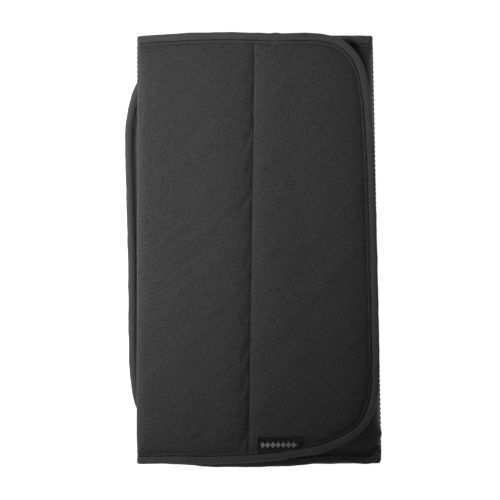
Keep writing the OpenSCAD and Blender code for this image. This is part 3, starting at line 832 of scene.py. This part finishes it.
def stitch_tree():
    """Puts one bent stitch at every point, laid along it and standing up from the cloth."""
    tree = bpy.data.node_groups.new("stitches", "GeometryNodeTree")
    face = tree.interface
    face.new_socket("Geometry", in_out="INPUT", socket_type="NodeSocketGeometry")
    for name in ("Stitch length", "Thread thickness", "Arch"):
        face.new_socket(name, in_out="INPUT", socket_type="NodeSocketFloat")
    face.new_socket("Thread", in_out="INPUT", socket_type="NodeSocketMaterial")
    face.new_socket("Geometry", in_out="OUTPUT", socket_type="NodeSocketGeometry")
    given = tree.nodes.new("NodeGroupInput")

    def add(kind, settings=None, links=None):
        node = tree.nodes.new(kind)
        for name, value in (settings or {}).items():
            setattr(node, name, value)
        for name, value in (links or {}).items():
            if isinstance(value, bpy.types.NodeSocket):
                tree.links.new(value, node.inputs[name])
            else:
                node.inputs[name].default_value = value
        return node

    def maths(kind, a, b):
        return add("ShaderNodeMath", {"operation": kind}, {0: a, 1: b}).outputs[0]

    length, thick, arch = (given.outputs[k] for k in (1, 2, 3))
    reach, sunk = maths("MULTIPLY", length, 0.5), maths("MULTIPLY", arch, -1.0)
    start = add("ShaderNodeCombineXYZ", None, {"X": maths("MULTIPLY", reach, -1.0), "Z": sunk}).outputs[0]
    over = add("ShaderNodeCombineXYZ", None, {"Z": maths("MULTIPLY", arch, 1.6)}).outputs[0]
    stop = add("ShaderNodeCombineXYZ", None, {"X": reach, "Z": sunk}).outputs[0]
    bow = add("GeometryNodeCurveQuadraticBezier", None,
              {"Resolution": 5, "Start": start, "Middle": over, "End": stop})
    ring = add("GeometryNodeCurvePrimitiveCircle", None,
               {"Resolution": 6, "Radius": maths("MULTIPLY", thick, 0.5)})
    stitch = add("GeometryNodeCurveToMesh", None,
                 {"Curve": bow.outputs[0], "Profile Curve": ring.outputs[0], "Fill Caps": True})
    vector = {"data_type": "FLOAT_VECTOR"}
    along_it = add("GeometryNodeInputNamedAttribute", vector, {"Name": "stitch_along"})
    up_from = add("GeometryNodeInputNamedAttribute", vector, {"Name": "stitch_up"})
    turn = add("FunctionNodeAlignRotationToVector", {"axis": "X"}, {"Vector": along_it.outputs[0]})
    stand = add("FunctionNodeAlignRotationToVector", {"axis": "Z", "pivot_axis": "X"},
                {"Rotation": turn.outputs[0], "Vector": up_from.outputs[0]})
    placed = add("GeometryNodeInstanceOnPoints", None,
                 {"Points": given.outputs[0], "Instance": stitch.outputs[0], "Rotation": stand.outputs[0]})
    real = add("GeometryNodeRealizeInstances", None, {"Geometry": placed.outputs[0]})
    smooth = add("GeometryNodeSetShadeSmooth", None, {"Geometry": real.outputs[0]})
    done = add("GeometryNodeSetMaterial", None,
               {"Geometry": smooth.outputs[0], "Material": given.outputs[4]})
    leave = tree.nodes.new("NodeGroupOutput")
    tree.links.new(done.outputs[0], leave.inputs[0])
    return tree


stitching = stitch_tree()


def sewn_row(name, places, body, nodes=(), across=None):
    """Stitches at places, each given as its middle, its direction and the side it stands on."""
    middle_point, direction, standing = (np.concatenate([np.array(p[k]) for p in places]) for k in range(3))
    mesh = bpy.data.meshes.new(name + "_places")
    mesh.from_pydata((middle_point * MM).tolist(), [], [])
    for key, values in (("stitch_along", direction), ("stitch_up", standing)):
        held = mesh.attributes.new(key, "FLOAT_VECTOR", "POINT")
        held.data.foreach_set("vector", values.astype(np.float32).ravel())
    holder = bpy.data.objects.new(name + "_places", mesh)
    bpy.context.scene.collection.objects.link(holder)
    sewing = holder.modifiers.new("stitches", "NODES")
    sewing.node_group = stitching
    inputs = {i.name: i.identifier for i in stitching.interface.items_tree if i.in_out == "INPUT"}
    for key, value in (("Stitch length", STITCH_L * MM), ("Thread thickness", THREAD_D * MM),
                       ("Arch", STITCH_ARCH * MM), ("Thread", thread_finish.material)):
        sewing[inputs[key]] = value
    made = bpy.data.meshes.new_from_object(holder.evaluated_get(bpy.context.evaluated_depsgraph_get()))
    made.name = name
    bpy.data.objects.remove(holder)
    piece = bpy.data.objects.new(name, made)
    bpy.context.scene.collection.objects.link(piece)
    if nodes:
        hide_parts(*nodes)
    hold(piece, body, across)


def tape_stitches(run, low=-1e9, high=1e9):
    """The stitches on both faces of a run of binding, or of the stretch of it from low to high."""
    (spine, into, up, s, stitches), surface, at = runs[run]
    at = at[(at >= low) & (at < high)]
    smooth = tape_surface(spine, into, up, s, 0.55 + 0 * s)
    smooth = smooth + (surface.mean(1) - smooth.mean(1))[:, None]
    out = []
    for column, side in ((TOP_LINE, 1), (UNDER_LINE, -1)):
        line, ahead, behind = (
            np.stack([np.interp(at + shift, s, smooth[:, column, k]) for k in range(3)], axis=1)
            for shift in (0, 1, -1))
        line[:, 2] += side * 0.1
        out.append((line, ahead - behind, np.tile([0.0, 0, side], (len(at), 1))))
    return out


def straight_stitches(where, z, y_range, sides):
    """A row along a seam or a fold. sides are the directions that the stitches stand out in."""
    y = np.arange(y_range[0], y_range[1], STITCH)
    x = line_x(where, y)
    run = np.column_stack([np.gradient(x), np.gradient(y), 0 * y])
    out = []
    for side, lift in sides:
        out.append((np.column_stack([x, y, z + 0 * y]) + np.array(side) * lift, run,
                    np.tile(np.array(side, float), (len(y), 1))))
    return out


SEAM_LIFT, FOLD_LIFT = 0.42, 0.15  # how far off a seam's and a fold's own line the thread lies
both_faces = [((0, 0, 1), SEAM_LIFT), ((0, 0, -1), SEAM_LIFT)]
SEWN_Y = (-193.5, 194)
sewn_row("base_binding_stitches", tape_stitches("base_tape"), "base_panel", ["base_binding_thread"])
sewn_row("middle_binding_stitches", tape_stitches("middle_far_tape") + tape_stitches("middle_near_tape"),
         "middle_panel", ["middle_binding_thread"])
flap_s = runs["flap_tape"][0][3]
marks = [flap_s[i] for i in (far_from_i, tip_from, tip_to, near_to_i)]
sewn_row("flap_binding_stitches",
         tape_stitches("flap_tape", high=marks[0]) + tape_stitches("flap_tape", low=marks[3]),
         "flap", ["flap_inner_binding_thread"])
sewn_row("tip_binding_stitches", tape_stitches("flap_tape", marks[1], marks[2]), "flap_tip",
         ["flap_tip_binding_thread"])
for end, low, high, y in (("far", marks[0], marks[1], FAR_END), ("near", marks[2], marks[3], NEAR_END)):
    sewn_row(f"flap_seam_{end}_stitches", tape_stitches("flap_tape", low, high), "flap", across=bend_at(y))
sewn_row("base_seam_stitches", straight_stitches(base_seam_x, BASE_Z, SEWN_Y, both_faces), "base_panel",
         ["base_seam_thread"])
sewn_row("middle_seam_stitches", straight_stitches(middle_seam_x, MIDDLE_Z, SEWN_Y, both_faces),
         "middle_panel", ["middle_seam_thread"])
sewn_row("flap_seam_stitches", straight_stitches(("flap_seam", -0.5), FLAP_Z, SEWN_Y, both_faces), "flap",
         ["flap_seam_thread"])
sewn_row("left_fold_stitches", straight_stitches("left_fold", LEFT_Z, SEWN_Y, [((-1, 0, 0), FOLD_LIFT)]),
         "middle_panel", ["left_fold_thread"])
sewn_row("right_fold_stitches", straight_stitches("right_fold", RIGHT_Z, SEWN_Y, [((1, 0, 0), FOLD_LIFT)]),
         "base_panel", ["right_fold_thread"])

# ---- Woven label ----
# A folded satin label, caught in the binding's stitching at its lower edge. It has a row of plain woven
# lozenges.
label_low, label_high = (np.array(c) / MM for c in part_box("label"))
label_low[0] -= 2.0  # it reaches a little past its solid, at one end and where it is caught in
label_high[1] += 5.0
label_finish = Finish("black_satin_label", Roughness=0.3, Specular_IOR_Level=0.3, Sheen_Weight=0.05)
label_flat = label_finish.cut()
label_x, label_y = label_finish.across(label_flat)
LOZENGE, LOZENGE_ROW = 5.0, 9.0
column = label_finish.node("ShaderNodeMath", {"operation": "PINGPONG"}, {0: label_x, 1: LOZENGE / 2})
from_row = (label_y - LOZENGE_ROW).size()
lozenge = (LOZENGE * 0.36 - column * 0.72 - from_row * 0.62).above(0)
ROW_MIDDLE, ROW_HALF = 21, 17.5
inside_row = (ROW_HALF - (label_x - ROW_MIDDLE).size()).above(0)
ribs = (label_y * (math.pi / 0.22)).sin()
label_grain = label_finish.noise(label_flat, (1, 0.15, 1), 2.2, 3.0) - 0.5
label_shade = lozenge * inside_row * 0.9
label_relief = 0.5 * ribs * ribs + 0.5 * label_grain + lozenge * inside_row
label_finish.feed(Base_Color=label_finish.mix(label_shade, (0.009, 0.009, 0.0095), (0.36, 0.36, 0.36)),
                  Roughness=0.34 + 0.2 * label_grain + 0.2 * lozenge,
                  Normal=label_finish.bump(label_relief, 0.06 * MM))
top_surface = BVHTree.FromObject(top, bpy.context.evaluated_depsgraph_get())
LABEL_T = 0.55
LABEL_ROWS, LABEL_COLUMNS = 21, 57
label_x_at = np.linspace(label_low[0], label_high[0], LABEL_COLUMNS)
label_y_at = np.linspace(label_low[1], label_high[1], LABEL_ROWS)
points = np.zeros((LABEL_ROWS, LABEL_COLUMNS, 3))
for i, y in enumerate(label_y_at):
    for j, x in enumerate(label_x_at):
        hit = top_surface.ray_cast(Vector((x * MM, y * MM, 1.0)), Vector((0, 0, -1)))[0]
        points[i, j] = x, y, (hit.z / MM if hit else FLAP_Z)
points[..., 2] = np.sort(points[..., 2], axis=0)
for _ in range(12):
    inner = points[1:-1, 1:-1, 2]
    points[1:-1, 1:-1, 2] = (points[:-2, 1:-1, 2] + points[2:, 1:-1, 2] + points[1:-1, :-2, 2]
                             + points[1:-1, 2:, 2] + 2 * inner) / 6
u, v = (label_x_at - label_low[0])[None, :], (label_y_at - label_low[1])[:, None]
points[..., 2] += LABEL_T + 0.12 + 0.1 * waves(u + 0 * v, v + 0 * u, 13, 31)
hem = np.minimum(np.clip(u / 1.4, 0, 1), np.clip((u[:, -1:] - u) / 1.4, 0, 1))
points[..., 2] -= 0.3 * (1 - np.sqrt(1 - (1 - hem) ** 2)) * np.ones_like(v)
label = mesh_piece("woven_label", points, grid_faces(LABEL_ROWS, LABEL_COLUMNS, 1), label_finish.material,
                   np.stack(np.broadcast_arrays(u, v), axis=2))
body_of_label = label.modifiers.new("folded_thickness", "SOLIDIFY")
body_of_label.thickness, body_of_label.offset = LABEL_T * MM, -1
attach(label, "flap_tip")
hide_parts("label")

# ---- Floor, light and camera ----
# The mat lies on a lit white sweep. Three soft lights stand at its left, so it darkens to the near right,
# and the camera looks straight down on it through a long lens.
floor_finish = Finish("white_sweep", Roughness=0.9, Specular_IOR_Level=0.1, Emission_Strength=0.99)
floor_finish.feed(Base_Color=(0.35, 0.35, 0.35, 1), Emission_Color=(1, 1, 1, 1))
sweep = mesh_piece("white_sweep", [(x, y, 0) for y in (-2500, 2500) for x in (-2500, 2500)], [(0, 1, 3, 2)],
                   floor_finish.material)


def soft_light(name, place, aim, size, power, spread):
    """A square light with a honeycomb grid that narrows its beam to spread degrees."""
    data = bpy.data.lights.new(name, "AREA")
    data.size, data.energy, data.spread = size, power, math.radians(spread)
    lamp = bpy.data.objects.new(name, data)
    lamp.location = place
    lamp.rotation_euler = (Vector(aim) - Vector(place)).to_track_quat("-Z", "Y").to_euler()
    bpy.context.scene.collection.objects.link(lamp)


LAMP = 0.2
soft_light("main_light", (-0.204, -0.473, 1.041), (-0.3, 0.3, 0), LAMP, power=1.2, spread=60)
soft_light("low_side_light", (-0.337, -0.377, 0.309), (-0.195, -0.012, 0), LAMP, power=0.09, spread=46)
soft_light("far_side_light", (-0.6, 0.4, 0.35), (0, 0, 0), LAMP, power=2.98, spread=180)
world = bpy.data.worlds.new("studio")
world.use_nodes = True
world.node_tree.nodes["Background"].inputs["Color"].default_value = (1, 1, 1, 1)
world.node_tree.nodes["Background"].inputs["Strength"].default_value = 0.08
bpy.context.scene.world = world
bpy.context.scene.view_settings.view_transform = "Standard"

CAMERA_HEIGHT, MAT_TOP = 4.0, 0.02
VIEW_WIDTH, SENSOR = 0.48, 36
camera = bpy.data.objects.new("camera", bpy.data.cameras.new("camera"))
camera.data.sensor_width = SENSOR
camera.data.lens = SENSOR * (CAMERA_HEIGHT - MAT_TOP) / VIEW_WIDTH
camera.data.clip_end = 20
camera.location = (-0.00346, -0.00029, CAMERA_HEIGHT)
bpy.context.scene.collection.objects.link(camera)
bpy.context.scene.camera = camera
